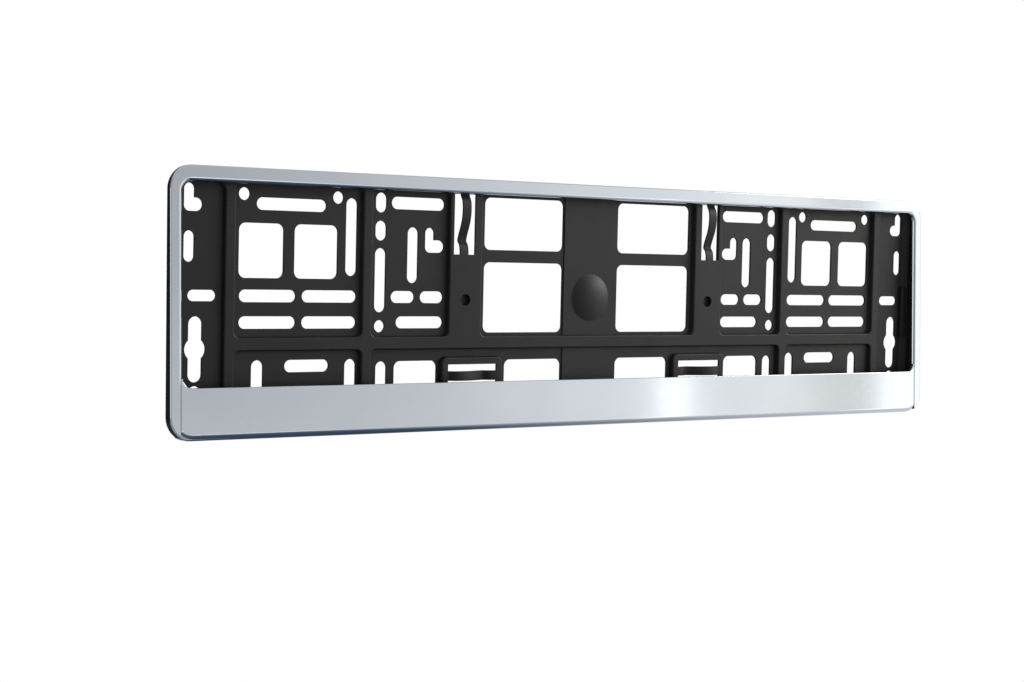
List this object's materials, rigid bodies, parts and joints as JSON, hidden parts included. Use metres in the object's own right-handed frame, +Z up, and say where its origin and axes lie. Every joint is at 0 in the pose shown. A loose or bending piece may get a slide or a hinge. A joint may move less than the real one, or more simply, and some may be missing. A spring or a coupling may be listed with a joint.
{
  "type": "number plate holder",
  "caption": "Flat rectangular holder that screws to a vehicle and frames its number plate: a slotted, ribbed tray with leaf springs, a thin satin silver trim frame and a clipped bottom strip.",
  "frame": {"origin": "in the rear mounting plane, midway between the inner level slots of the upper slot row", "axes": "+X to the right as the plate is read, +Z up, +Y into the vehicle, square to the rear plane"},
  "size_m": [0.53, 0.0123, 0.1351],
  "materials": {
    "tray_plastic": "fine matte black moulding",
    "trim_silver": "satin silver coating on plastic",
    "strip_silver": "satin silver coating on plastic"
  },
  "bodies": {
    "root": {"base_tray": "tray_plastic", "trim_frame": "trim_silver", "bottom_strip": "strip_silver"}
  },
  "joints": []
}
